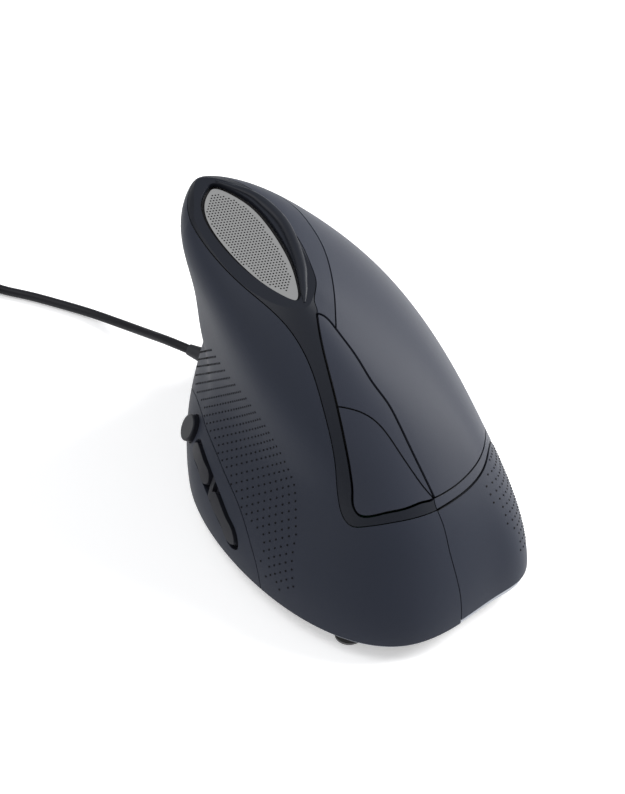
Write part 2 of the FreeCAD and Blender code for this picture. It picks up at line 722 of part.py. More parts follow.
for finger, (along, up) in SWITCHES.items():
    seat = frame(wall_place(along * stretch.y, up, switch_low), V(0, 1, 0), WALL_OUT)
    housing_box = doc.addObject("Part::Box", finger + "_switch_box")
    bound(housing_box, Length="Sizes.switch_length", Width="Sizes.switch_width", Height="Sizes.switch_height")
    housing_box.setExpression(".Placement.Base.x", "-Sizes.switch_length / 2")
    housing_box.setExpression(".Placement.Base.y", "-Sizes.switch_width / 2")
    bore = doc.addObject("Part::Cylinder", finger + "_switch_bore")
    bound(bore, Radius="Sizes.plunger_radius + Sizes.running_gap", Height="3")
    bore.setExpression(".Placement.Base.z", "Sizes.switch_height - 1.8")
    switch = doc.addObject("Part::Cut", finger + "_switch")
    switch.Base = housing_box
    switch.Tool = bore
    register(switch, finger + "_switch", seat)
    plunger = doc.addObject("Part::Cylinder", finger + "_plunger")
    bound(plunger, Radius="Sizes.plunger_radius", Height="1.1 + Sizes.plunger_proud")
    plunger_seat = frame(wall_place(along * stretch.y, up, switch_top - 1.1), V(0, 1, 0), WALL_OUT)
    register(plunger, finger + "_plunger", plunger_seat)

tact_side = size("tact_side")
tacts = []
for along, rise in [(stem, -3.8 + key_bend(stem)) for span, stem in KEY_STEMS.values()] + [DPI_PLACE]:
    spot = flare_frame(along * stretch.y, rise, thumb_board_top)
    half_tact = tact_side / 2
    tacts.append(local_box(spot, (-half_tact, -half_tact, 0), (half_tact, half_tact, size("tact_height"))))
keep("thumb_switches", Part.makeCompound(tacts))

# Wheel, axle and the carrier that dips when the wheel is clicked
tyre_outer = doc.addObject("Part::Cylinder", "tyre_outer")
bound(tyre_outer, Radius="Sizes.wheel_radius", Height="Sizes.wheel_width")
tyre_round = doc.addObject("Part::Fillet", "tyre_round")
tyre_round.Base = tyre_outer
tyre_round.Edges = [(1, 1.4, 1.4), (3, 1.4, 1.4)]
tyre_inner = doc.addObject("Part::Cylinder", "tyre_inner")
bound(tyre_inner, Radius="Sizes.wheel_radius - Sizes.tyre_depth", Height="Sizes.wheel_width")
tyre = doc.addObject("Part::Cut", "scroll_tyre")
tyre.Base = tyre_round
tyre.Tool = tyre_inner
wheel_low = frame(wheel_centre - WHEEL_AXIS * half_wheel, V(0, 1, 0), WHEEL_AXIS)
register(tyre, "scroll_tyre", wheel_low)

hub_disc = doc.addObject("Part::Cylinder", "hub_disc")
bound(hub_disc, Radius="Sizes.wheel_radius - Sizes.tyre_depth - 0.03", Height="Sizes.wheel_width")
hub_bore = doc.addObject("Part::Cylinder", "hub_bore")
bound(hub_bore, Radius="Sizes.axle_radius + 0.03", Height="Sizes.wheel_width")
hub = doc.addObject("Part::Cut", "scroll_hub")
hub.Base = hub_disc
hub.Tool = hub_bore
register(hub, "scroll_hub", wheel_low)

cheek_wall = 1.2
cheek = half_wheel + 0.6 + cheek_wall
axle = bound(doc.addObject("Part::Cylinder", "wheel_axle"), Radius="Sizes.axle_radius")
axle.Height = 2 * cheek + 2.6
register(axle, "wheel_axle", frame(wheel_centre - WHEEL_AXIS * cheek, V(0, 1, 0), WHEEL_AXIS))

axle_clear = Part.makeCylinder(size("axle_radius") + 0.08, 40, wheel_centre - WHEEL_AXIS * 20, WHEEL_AXIS)
cheek_reach = 3.2
bridge_top = -wheel_radius - run
bridge_low = bridge_top - cheek_wall
cheeks = [
    wheel_box((-cheek_reach, low, bridge_low), (cheek_reach, low + cheek_wall, 2.0))
    for low in (-cheek, cheek - cheek_wall)
]
carrier_bridge = wheel_box((-cheek_reach, -cheek, bridge_low), (cheek_reach, cheek, bridge_top))
nub_low = bridge_low - 0.5
wheel_switch_top = nub_low - size("click_travel") - 0.1
wheel_switch_low = wheel_switch_top - size("tact_height")
nub = local_rod(wheel_frame, 1.0, nub_low, bridge_low)
keep("wheel_carrier", carrier_bridge.fuse(cheeks + [nub]).cut(axle_clear))
encoder = wheel_box((-4, cheek, -5), (4, cheek + 3.4, 2.6))
keep("wheel_encoder", encoder.cut(axle_clear))
keep("wheel_switch", wheel_box((-3, -3, wheel_switch_low), (3, 3, wheel_switch_top)))

# Inner frame that carries the side board and guides the wheel carrier
backplate_rear = side_middle - side_length / 2 - 0.5
backplate_front = side_middle + side_length / 2 + 0.5
backplate_up = size("side_width") / 2 + 1
backplate = wall_box(
    (backplate_rear, SIDE_UP - backplate_up, side_depth - 2),
    (backplate_front, SIDE_UP + backplate_up, side_depth),
)
low_edge = wall_place(0, SIDE_UP - backplate_up, side_depth)
leg = block(
    (low_edge.x - 2.8, side_middle - 7.5, floor_top),
    (low_edge.x + 0.6, side_middle + 5.5, low_edge.z + 0.2),
)
BENCH_HALF = 7.0
bench = wheel_box((-5.8, -BENCH_HALF, wheel_switch_low - 2), (5.8, BENCH_HALF, wheel_switch_low))
bench_foot = wheel_frame.multVec(V(0, -BENCH_HALF, wheel_switch_low - 1))
guides = [
    wheel_box((along, up, wheel_switch_low - 1), (along + 1.7, up + 1.4, -5))
    for along in (-cheek_reach - run - 1.7, cheek_reach + run)
    for up in (-cheek, cheek - 1.4)
]
pillar = block(
    (bench_foot.x - 2.4, bench_foot.y - 3.2, floor_top),
    (bench_foot.x + 0.8, bench_foot.y + 5, bench_foot.z + 1.4),
)
beam_low = bench_foot.z - 4.5
beam_high = beam_low + 3
beam_rear = backplate_front - 2.4
back_mid = side_depth - 1
beam_end = WALL_OUT.x * back_mid + WALL_UP.x * (beam_low + 1.5 - WALL_OUT.z * back_mid) / WALL_UP.z
beam = block((bench_foot.x - 1.8, beam_rear, beam_low), (bench_foot.x + 1.0, bench_foot.y - 2, beam_high))
beam = beam.fuse(block((bench_foot.x - 1.8, beam_rear, beam_low), (beam_end, beam_rear + 2.2, beam_high)))
keep("inner_frame", backplate.fuse([leg, bench, pillar, beam] + guides))

# Base plate with its posts, screw seats and sensor window
base_outer = base_ring([(foot, 6.0), (foot + 1.0, 3.6), (foot + 2.2, 2.0), (base_top, 1.2)])
base_inner = base_ring([(floor_top, 5.6), (floor_top + 0.8, 4.4), (base_top + 0.1, 1.2 + size("base_rim"))])
board_posts = [post(x, y, floor_top - 0.4, board_z, 2.6) for x, y in board_posts_at]
screw_radius = size("screw_radius")
screw_head = size("screw_head")
head_height = 0.9
base_cuts = [screw_hole(x, y, floor_top - 0.6, board_z + 1) for x, y in board_posts_at]
for x, y, high, heading in shell_screws.values():
    base_cuts.append(post(x, y, 0, foot + head_height + 0.1, screw_head + 0.2))
    base_cuts.append(post(x, y, 0, base_top, screw_radius + 0.1))
sensor_window = Part.makeCylinder(LENS_RADIUS + 1.1, 4, V(SENSOR[0], SENSOR[1], 0))
base_plate = base_outer.cut(base_inner).fuse(board_posts).cut(base_cuts + [sensor_window])
keep("base_plate", base_plate)

strip_inner = STRIP_INSET + size("strip_width")


def strip_ring(low, high):
    """One level of the light strip, all the way round."""
    ring = base_ring([(low, STRIP_INSET), (high, STRIP_INSET)])
    return ring.cut(base_ring([(low - 1, strip_inner), (high + 1, strip_inner)]))


strip_low = strip_ring(base_top, shell_bottom)
strip_high = strip_ring(shell_bottom, step_top)
seam_rear = at(17.1, -60, 0)
seam_front = at(-4.2, 60, 0)
seam_rear.z = shell_bottom
seam_front.z = shell_bottom
right_corners = [seam_rear, seam_front, V(90, 90, shell_bottom), V(90, -90, shell_bottom), seam_rear]
right_half = Part.Face(Part.makePolygon(right_corners))
keep("light_strip", strip_low.fuse(strip_high.common(right_half.extrude(V(0, 0, 4)))))


def screw(x, y, seat, length, head_radius, upright):
    """A screw whose head rests at a height and whose shank goes up or down."""
    way = 1 if upright else -1
    shank = Part.makeCylinder(screw_radius - 0.05, length, V(x, y, seat), V(0, 0, way))
    head = Part.makeCylinder(head_radius, head_height, V(x, y, seat - way * head_height), V(0, 0, way))
    return shank.fuse(head)


base_screws = [
    screw(x, y, foot + head_height + 0.1, SCREW_DEPTH, screw_head, True)
    for x, y, high, heading in shell_screws.values()
]
keep("base_screws", Part.makeCompound(base_screws))
board_screws = [screw(x, y, board_top, 5.0, screw_head - 0.2, False) for x, y in board_posts_at]
keep("board_screws", Part.makeCompound(board_screws))

FEET = [(-19, 20, 70), (15, 37, -30), (-6, -47, 15), (27, -19, 80)]


def foot_pad(x, y, turn):
    """A low rounded glide under the base."""
    straight = Part.makeBox(8, 7, foot, V(-4, -3.5, 0))
    ends = [Part.makeCylinder(3.5, foot, V(side, 0, 0)) for side in (-4, 4)]
    pad = straight.fuse(ends).removeSplitter()
    pad.Placement = FreeCAD.Placement(at(x, y, 0), FreeCAD.Rotation(V(0, 0, 1), turn))
    return pad


keep("feet", Part.makeCompound([foot_pad(*pad) for pad in FEET]))

lens_x = size("sensor_width") / 2 + 2
lens_y = size("sensor_length") / 2 + 1
lens_plate = block(
    (SENSOR[0] - lens_x, SENSOR[1] - lens_y, floor_top),
    (SENSOR[0] + lens_x, SENSOR[1] + lens_y, floor_top + 1.2),
)
lens_low = Part.makeCylinder(LENS_RADIUS + 0.8, floor_top - foot - 0.2, V(SENSOR[0], SENSOR[1], foot + 0.2))
lens_high = Part.makeCylinder(LENS_RADIUS, board_top - floor_top - 0.4, V(SENSOR[0], SENSOR[1], floor_top))
keep("sensor_lens", lens_plate.fuse([lens_low, lens_high]))

led_radius = size("led_radius")
led_y = SENSOR[1] + size("sensor_length") / 2 + 1 + led_radius
led_body = Part.makeCylinder(led_radius, 4, V(SENSOR[0], led_y, board_top))
keep("sensor_led", led_body)
GLOW = [(2, -49, 0), (28.5, -16, 90), (-23.5, -13, 90)]
glows = []
for x, y, turn in GLOW:
    lamp = Part.makeBox(4, 2, 1.6, V(-2, -1, 0))
    lamp.Placement = FreeCAD.Placement(at(x, y, 0) + V(0, 0, floor_top), FreeCAD.Rotation(V(0, 0, 1), turn))
    glows.append(lamp)
keep("glow_leds", Part.makeCompound(glows))

# Cable, its relief, its coil and its plug
cable_radius = size("cable_diameter") / 2
relief_length = size("relief_length")
relief_frame = frame(exit_point, V(0, 0, 1), exit_axis)
flange = local_rod(relief_frame, relief_radius + 0.9, -4.8, -3.6)
neck = local_rod(relief_frame, relief_radius, -3.6, 0.8)
taper = Part.makeCone(relief_radius, cable_radius + 0.3, relief_length - 0.8, V(0, 0, 0.8))
taper.Placement = relief_frame
keep("strain_relief", flange.fuse([neck, taper]))


def rounded_path(points, name):
    """Straight runs joined by tangent arcs, as one wire, with its length."""
    places = [V(*point) for point in points]
    edges = []
    start = places[0]
    radii = []
    for before, here, after in zip(places, places[1:], places[2:]):
        into = here - before
        away = after - here
        short = min(into.Length, away.Length)
        half_turn = into.getAngle(away) / 2
        radius = 0.45 * short / math.tan(half_turn)
        radii.append(radius)
        reach = 0.45 * short
        into.normalize()
        away.normalize()
        begin = here - into * reach
        end = here + away * reach
        inwards = away - into
        inwards.normalize()
        middle = here + inwards * (radius / math.cos(half_turn) - radius)
        edges.append(Part.LineSegment(start, begin).toShape())
        edges.append(Part.Arc(begin, middle, end).toShape())
        start = end
    edges.append(Part.LineSegment(start, places[-1]).toShape())
    path = Part.Wire(edges)
    print("%s: length %.1f, radii %s" % (name, path.Length, " ".join("%.1f" % radius for radius in radii)))
    return path


def tube(path, radius, name):
    """A round tube along a path, checked against its section and length."""
    first = path.Edges[0]
    heading = first.tangentAt(first.FirstParameter)
    ring = Part.Wire([Part.Circle(path.Vertexes[0].Point, heading, radius).toShape()])
    made = path.makePipeShell([ring], True, False)
    wanted = math.pi * radius ** 2 * path.Length
    print("%s: volume %.1f of %.1f" % (name, made.Volume, wanted))
    return made


LOW_LINE = 1.4
relief_end = exit_point + exit_axis * relief_length
COIL_CENTRE = V(-104.0, 100.0, 0)
coil_pitch = size("coil_pitch")
coil_step = size("coil_step")
COIL_START = 60.0
COIL_TURNS = 13 + 1 / 3
COIL_LAYERS = 4
spiral_turns = (COIL_TURNS - 0.5 * (COIL_LAYERS - 1)) / COIL_LAYERS
coil_inner = size("coil_radius") - spiral_turns * coil_pitch / 2
coil_outer = size("coil_radius") + spiral_turns * coil_pitch / 2


def coil_place(turn):
    """The middle of the cable after so many turns of the coil."""
    period = spiral_turns + 0.5
    layer = min(int(turn / period), COIL_LAYERS - 1)
    share = turn - layer * period
    inward = layer % 2 == 0
    spiral = min(share, spiral_turns) / spiral_turns
    radius = coil_outer + (coil_inner - coil_outer) * (spiral if inward else 1 - spiral)
    climb = max(0.0, min(1.0, (share - spiral_turns) / 0.5))
    height = LOW_LINE + coil_step * (layer + climb * climb * (3 - 2 * climb))
    angle = math.radians(COIL_START + 360.0 * turn)
    return COIL_CENTRE + V(radius * math.cos(angle), radius * math.sin(angle), height)


def heading_at(turn):
    step = 0.002
    ahead = coil_place(min(turn + step, COIL_TURNS)) - coil_place(max(turn - step, 0))
    ahead.normalize()
    return ahead


def biarc(start, leaving, end, arriving):
    """Two arcs that leave one place and arrive at another without a corner."""
    chord = end - start
    both = leaving + arriving
    square = 2 * (1 - leaving.dot(arriving))
    middle_term = chord.dot(both)
    if square < 1e-9:
        reach = chord.dot(chord) / (2 * middle_term)
    else:
        reach = (-middle_term + math.sqrt(middle_term ** 2 + square * chord.dot(chord))) / square
    joint = (start + leaving * reach + end - arriving * reach) / 2
    arcs = []
    for foot_place, way, tip in ((start, leaving, joint), (end, arriving * -1, joint)):
        span = tip - foot_place
        along = span.dot(way)
        aside = span - way * along
        bend = (along ** 2 + aside.dot(aside)) / (2 * aside.Length)
        aside.normalize()
        hub_place = foot_place + aside * bend
        half = (foot_place - hub_place) + (tip - hub_place)
        half.normalize()
        crest = hub_place + half * bend
        if way is leaving:
            arcs.append(Part.Arc(foot_place, crest, tip).toShape())
        else:
            arcs.append(Part.Arc(tip, crest, foot_place).toShape())
    return arcs


coil_edges = []
quarters = int(round(COIL_TURNS * 6))
for index in range(quarters):
    here = index / 6.0
    there = (index + 1) / 6.0
    coil_edges += biarc(coil_place(here), heading_at(here), coil_place(there), heading_at(there))
coil_path = Part.Wire(coil_edges)
spots = [coil_place(COIL_TURNS * index / 4000) for index in range(4001)]
turn_span = int(4000 / COIL_TURNS * 0.4)
coil_gap = min(
    (spots[first] - spots[second]).Length
    for first in range(0, 4001, 12)
    for second in range(first + turn_span, 4001, 4)
) - 2 * cable_radius
print("coil: length %.1f, least gap %.2f" % (coil_path.Length, coil_gap))

lead_in = heading_at(0)
lead_out = heading_at(COIL_TURNS)
coil_first = coil_place(0)
coil_last = coil_place(COIL_TURNS)
straight = 6.0
CABLE_ROUTE = [
    (-33.2, 57.6, 8.0), (-37.7, 65.4, 5.0), (-44.3, 74.8, 2.3), (-51.6, 82.2, 1.5), (-59.0, 87.8, 1.4),
    (-66.4, 93.1, 1.4), (-74.2, 97.6, 1.4), (-79.3, 103.0, 1.4), (-84.0, 108.7, 1.4),
]
cable_points = [tuple(relief_end)] + CABLE_ROUTE + [tuple(coil_first - lead_in * straight), tuple(coil_first)]
cable_path = rounded_path(cable_points, "cable")
keep("cable", tube(cable_path, cable_radius, "cable"))
keep("cable_coil", tube(coil_path, cable_radius, "coil"))

PLUG_TAIL = V(-123.0, 66.0, size("plug_height") / 2 + 0.1)
TAIL_ROUTE = [(-123.6, 86.5, 9.0), (-122.7, 79.0, 6.0), (-123.0, 72.0, PLUG_TAIL.z)]
tail_points = [tuple(coil_last), tuple(coil_last + lead_out * straight)] + TAIL_ROUTE + [tuple(PLUG_TAIL)]
tail_path = rounded_path(tail_points, "tail")
keep("cable_tail", tube(tail_path, cable_radius, "tail"))

inner_points = [
    tuple(exit_point - exit_axis * 4.8), tuple(exit_point - exit_axis * 9.2), (-14.0, 37.2, 9.3),
    (-10.5, 32.6, 9.9), (-10.5, 27.75, 9.9),
]
keep("inner_lead", tube(rounded_path(inner_points, "inner lead"), cable_radius, "inner lead"))

plug_length = size("plug_length")
plug_width = size("plug_width")
plug_height = size("plug_height")
PLUG_RELIEF = 8.0
plug_frame = frame(PLUG_TAIL, V(1, 0, 0), V(0, -1, 0))
plug_block = local_box(
    plug_frame, (-plug_width / 2, -plug_height / 2, PLUG_RELIEF),
    (plug_width / 2, plug_height / 2, PLUG_RELIEF + plug_length),
)
plug_block = plug_block.makeFillet(1.6, plug_block.Edges)
plug_cone = Part.makeCone(cable_radius + 0.5, 3.2, PLUG_RELIEF + 0.5)
plug_cone.Placement = plug_frame
keep("plug_body", plug_block.fuse(plug_cone))
shell_low = PLUG_RELIEF + plug_length
shell_width = size("plug_shell_width")
shell_height = size("plug_shell_height")
shell_wall = size("plug_shell_wall")
shell_length = size("plug_shell_length")
shell_outer = local_box(
    plug_frame, (-shell_width / 2, -shell_height / 2, shell_low),
    (shell_width / 2, shell_height / 2, shell_low + shell_length),
)
shell_bore = local_box(
    plug_frame, (-shell_width / 2 + shell_wall, -shell_height / 2 + shell_wall, shell_low - 1),
    (shell_width / 2 - shell_wall, shell_height / 2 - shell_wall, shell_low + shell_length + 1),
)
keep("plug_shell", shell_outer.cut(shell_bore))
tongue = local_box(
    plug_frame, (-shell_width / 2 + shell_wall, -shell_height / 2 + shell_wall, shell_low),
    (shell_width / 2 - shell_wall, -shell_height / 2 + shell_wall + 1.8, shell_low + shell_length - 0.6),
)
keep("plug_tongue", tongue)

doc.recompute()
for item in doc.Objects:
    if "Invalid" in item.State or "Error" in item.State:
        raise ValueError("%s did not build" % item.Name)
os.makedirs("parts", exist_ok=True)
for piece in parts:
    if piece.Shape.isNull() or not piece.Shape.isValid():
        raise ValueError("%s has no valid shape" % piece.Label)
for piece in parts:
    print("%-16s solids %d volume %9.1f" % (piece.Label, len(piece.Shape.Solids), piece.Shape.Volume))
    piece.Shape.exportStep("parts/%s.step" % piece.Label)
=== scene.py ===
# %% [markdown]
# # An upright mouse, dressed step by step
#
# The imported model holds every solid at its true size. Here it gets its camera and light, its lead,
# its finishes and the small forms that a solid model leaves out. Lengths are in metres throughout.

# %% Load the frame
import bpy
import bmesh
import math
from mathutils import Matrix, Vector
from mathutils.bvhtree import BVHTree


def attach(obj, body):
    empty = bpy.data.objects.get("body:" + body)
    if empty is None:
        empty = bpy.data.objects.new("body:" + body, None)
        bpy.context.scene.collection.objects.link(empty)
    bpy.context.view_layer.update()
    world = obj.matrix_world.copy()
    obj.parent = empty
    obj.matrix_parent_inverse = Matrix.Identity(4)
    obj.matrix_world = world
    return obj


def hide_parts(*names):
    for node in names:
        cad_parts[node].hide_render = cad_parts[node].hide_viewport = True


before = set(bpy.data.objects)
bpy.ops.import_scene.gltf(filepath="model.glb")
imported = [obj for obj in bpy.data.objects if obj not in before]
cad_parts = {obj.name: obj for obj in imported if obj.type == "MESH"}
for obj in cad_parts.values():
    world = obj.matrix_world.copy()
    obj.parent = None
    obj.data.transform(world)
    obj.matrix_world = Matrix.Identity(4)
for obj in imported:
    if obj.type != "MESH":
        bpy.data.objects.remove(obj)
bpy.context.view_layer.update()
print("nodes:", len(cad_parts))

# %% [markdown]
# ## Camera and light
#
# The mouse was taken from behind, a little to its left and from well above, with a long lens. An
# azimuth and an elevation are easy to read and to correct, so the camera's direction is worked out
# from those two. Its place and its lens are set so that they frame the mouse as the photograph does.

# %% Camera
AZIMUTH = math.radians(-13)
ELEVATION = math.radians(42)
BACK = Vector((
    math.sin(AZIMUTH) * math.cos(ELEVATION),
    -math.cos(AZIMUTH) * math.cos(ELEVATION),
    math.sin(ELEVATION),
))
lens = bpy.data.cameras.new("camera")
lens.sensor_fit = "VERTICAL"
lens.sensor_height = 36.0
lens.lens = 109.3
lens.clip_start = 0.01
camera = bpy.data.objects.new("camera", lens)
camera.location = (-0.10589, -0.42528, 0.42648)
camera.rotation_euler = (-BACK).to_track_quat("-Z", "Y").to_euler()
bpy.context.scene.collection.objects.link(camera)
bpy.context.scene.camera = camera
print("camera distance:", round(camera.location.length, 3))


# %% [markdown]
# Dark soft-touch paint shows its form by what it mirrors, so the sweep around the mouse is less
# than half bright, and two soft panels add direction: a large one to the right and a little in
# front of the mouse, for the finger side, and one overhead, somewhat to the left, for the crown
# and the floor. A weak one on the left fills the thumb side.

# %% Lights
def soft_panel(name, place, aim, width, power):
    panel = bpy.data.lights.new(name, "AREA")
    panel.shape = "DISK"
    panel.size = width
    panel.energy = power
    holder = bpy.data.objects.new(name, panel)
    holder.location = place
    holder.rotation_euler = (Vector(aim) - Vector(place)).to_track_quat("-Z", "Y").to_euler()
    bpy.context.scene.collection.objects.link(holder)


soft_panel("right_panel", (0.85, 0.15, 0.55), (0, 0, 0.03), 0.7, 15.5)
soft_panel("top_panel", (-0.45, 0.05, 1.0), (0, 0, 0), 0.6, 3.6)
soft_panel("left_panel", (-0.8, -0.1, 0.5), (0, 0, 0.03), 0.5, 1.0)
world = bpy.data.worlds.new("sweep")
world.use_nodes = True
world.node_tree.nodes["Background"].inputs["Color"].default_value = (0.97, 0.98, 1.0, 1)
world.node_tree.nodes["Background"].inputs["Strength"].default_value = 0.38
bpy.context.scene.world = world
bpy.context.scene.view_settings.view_transform = "Standard"

# %% [markdown]
# ## Floor
#
# The floor is one pale sheet that fills the photograph's view. Seen from a low angle, it ends at a
# horizon. It is lit a little from behind, as a light table is, which keeps it white and leaves only
# a soft shadow at the foot of the mouse.

# %% Floor
floor_form = bmesh.new()
bmesh.ops.create_grid(floor_form, x_segments=1, y_segments=1, size=6.0)
floor_mesh = bpy.data.meshes.new("floor")
floor_form.to_mesh(floor_mesh)
floor_form.free()
floor = bpy.data.objects.new("floor", floor_mesh)
bpy.context.scene.collection.objects.link(floor)
pale = bpy.data.materials.new("pale_floor")
pale.use_nodes = True
pale.node_tree.nodes["Principled BSDF"].inputs["Base Color"].default_value = (0.95, 0.95, 0.955, 1)
pale.node_tree.nodes["Principled BSDF"].inputs["Roughness"].default_value = 0.9
pale.node_tree.nodes["Principled BSDF"].inputs["Emission Color"].default_value = (1.0, 1.0, 1.0, 1)
pale.node_tree.nodes["Principled BSDF"].inputs["Emission Strength"].default_value = 0.36
floor_mesh.materials.append(pale)

# %% [markdown]
# ## Lead
#
# The lead leaves the front left of the housing, drops to the desk and runs off to the left, where
# the length that isn't needed is wound into a neat coil. A curve of control points, smoothed by a
# quadratic spline, lies like a real cable: it has no corners and stays on the desk. Each point
# carries the lead's radius, and the bevel is one unit deep, because Blender widens a curve's box by
# its points' radius, which is a whole metre where nothing sets it.

# %% Route of the lead
LEAD_RADIUS = 0.00125
LOW_LINE = 0.0014
EXIT = Vector((-0.0244, 0.0486, 0.008))
EXIT_WAY = Vector((-0.7, 0.714, 0)).normalized()
SLEEVE_END = EXIT + EXIT_WAY * 0.0065
OUTWARD = [
    (-0.0332, 0.0576, 0.0080), (-0.0377, 0.0654, 0.0050), (-0.0443, 0.0748, 0.0023),
    (-0.0516, 0.0822, 0.0015), (-0.0590, 0.0878, 0.0014), (-0.0664, 0.0931, 0.0014),
    (-0.0742, 0.0976, 0.0014), (-0.0793, 0.1030, 0.0014), (-0.0840, 0.1087, 0.0014),
]
TAIL = [(-0.1236, 0.0865, 0.0090), (-0.1227, 0.0790, 0.0060), (-0.1230, 0.0720, 0.0040)]
PLUG_END = Vector((-0.1230, 0.0660, 0.0040))

# %% Turns of the coil
COIL_CENTRE = Vector((-0.104, 0.1, 0))
COIL_TURNS = 13 + 1 / 3
COIL_LAYERS = 4
COIL_PITCH = 0.0034
COIL_STEP = 0.0032
COIL_START = 60.0
COIL_RADIUS = 0.014
CLIMB_TURN = 0.5
STRAIGHT_RUN = 0.006
POINTS_A_TURN = 18
SMALL_TURN = 0.002
spiral_turns = (COIL_TURNS - CLIMB_TURN * (COIL_LAYERS - 1)) / COIL_LAYERS
coil_inner = COIL_RADIUS - spiral_turns * COIL_PITCH / 2
coil_outer = COIL_RADIUS + spiral_turns * COIL_PITCH / 2


def coil_place(turn):
    """Middle of the lead after so many turns, layer by layer, in and out."""
    period = spiral_turns + CLIMB_TURN
    layer = min(int(turn / period), COIL_LAYERS - 1)
    share = turn - layer * period
    spiral = min(share, spiral_turns) / spiral_turns
    radius = coil_outer + (coil_inner - coil_outer) * (spiral if layer % 2 == 0 else 1 - spiral)
    climb = max(0.0, min(1.0, (share - spiral_turns) / CLIMB_TURN))
    height = LOW_LINE + COIL_STEP * (layer + climb * climb * (3 - 2 * climb))
    angle = math.radians(COIL_START + 360.0 * turn)
    return COIL_CENTRE + Vector((radius * math.cos(angle), radius * math.sin(angle), height))


def coil_heading(turn):
    """Direction of the lead after so many turns."""
    ahead = coil_place(min(turn + SMALL_TURN, COIL_TURNS)) - coil_place(max(turn - SMALL_TURN, 0))
    return ahead.normalized()


coil_points = int(COIL_TURNS * POINTS_A_TURN)
turns = [coil_place(COIL_TURNS * index / coil_points) for index in range(coil_points + 1)]
route = [SLEEVE_END] + [Vector(place) for place in OUTWARD]
route += [coil_place(0) - coil_heading(0) * STRAIGHT_RUN] + turns
route += [coil_place(COIL_TURNS) + coil_heading(COIL_TURNS) * STRAIGHT_RUN]
route += [Vector(place) for place in TAIL] + [PLUG_END]
print("control points:", len(route), "lowest:", round(min(place.z for place in route), 5))

# %% Lead as a smooth tube
lead_curve = bpy.data.curves.new("lead", "CURVE")
lead_curve.dimensions = "3D"
spline = lead_curve.splines.new("NURBS")
spline.points.add(len(route) - 1)
for point, place in zip(spline.points, route):
    point.co = (place.x, place.y, place.z, 1)
    point.radius = LEAD_RADIUS
spline.order_u = 3
spline.use_endpoint_u = True
lead_curve.resolution_u = 4
lead_curve.bevel_depth = 1.0
lead_curve.bevel_resolution = 3
lead_curve.use_fill_caps = True
lead = bpy.data.objects.new("lead", lead_curve)
bpy.context.scene.collection.objects.link(lead)
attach(lead, "housing")
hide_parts("cable", "cable_coil", "cable_tail")


# %% [markdown]
# ## Finishes
#
# Almost everything is moulded plastic. A finish is more than a colour: the soft-touch paint of the
# shells scatters light at its grain, so it has a fine bump, a slight change of tone over centimetres
# and a faint sheen at grazing angles. One recipe with a few named values covers all of them, and
# every pattern reads Object coordinates, so that it stays put on the piece.

# %% A recipe for moulded and painted surfaces
GRAIN_SIZE = 0.0003
GRAIN_DEPTH = 0.00004
DRIFT_SCALE = 45.0
ROUGHNESS_SPREAD = 0.05


def finish(name, colour, roughness, grain=0.0, tone=0.06, sheen=0.0, metal=0.0, gloss=0.3):
    """Moulded surface: base tone with slow drift, roughness and a fine grain."""
    made = bpy.data.materials.new(name)
    made.use_nodes = True
    nodes = made.node_tree.nodes
    links = made.node_tree.links
    surface = nodes["Principled BSDF"]
    surface.inputs["Metallic"].default_value = metal
    surface.inputs["Specular IOR Level"].default_value = gloss
    surface.inputs["Sheen Weight"].default_value = sheen
    surface.inputs["Sheen Roughness"].default_value = 0.45
    place = nodes.new("ShaderNodeTexCoord")
    drift = nodes.new("ShaderNodeTexNoise")
    drift.inputs["Scale"].default_value = DRIFT_SCALE
    drift.inputs["Detail"].default_value = 3.0
    links.new(place.outputs["Object"], drift.inputs["Vector"])
    tint = nodes.new("ShaderNodeMix")
    tint.data_type = "RGBA"
    tint.inputs["A"].default_value = (*[part * (1 - tone) for part in colour], 1)
    tint.inputs["B"].default_value = (*[part * (1 + tone) for part in colour], 1)
    links.new(drift.outputs["Fac"], tint.inputs["Factor"])
    links.new(tint.outputs["Result"], surface.inputs["Base Color"])
    fine = nodes.new("ShaderNodeTexNoise")
    fine.inputs["Scale"].default_value = 1.0 / GRAIN_SIZE
    fine.inputs["Detail"].default_value = 2.0
    links.new(place.outputs["Object"], fine.inputs["Vector"])
    rough = nodes.new("ShaderNodeMapRange")
    rough.inputs["To Min"].default_value = max(0.02, roughness - ROUGHNESS_SPREAD)
    rough.inputs["To Max"].default_value = min(1.0, roughness + ROUGHNESS_SPREAD)
    links.new(fine.outputs["Fac"], rough.inputs["Value"])
    links.new(rough.outputs["Result"], surface.inputs["Roughness"])
    if grain:
        bump = nodes.new("ShaderNodeBump")
        bump.inputs["Strength"].default_value = grain
        bump.inputs["Distance"].default_value = GRAIN_DEPTH
        links.new(fine.outputs["Fac"], bump.inputs["Height"])
        links.new(bump.outputs["Normal"], surface.inputs["Normal"])
    return made


def dress(material, *names):
    """Gives a finish to carried-over nodes, whose meshes stay as they are."""
    for name in names:
        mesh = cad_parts[name].data
        mesh.materials.clear()
        mesh.materials.append(material)


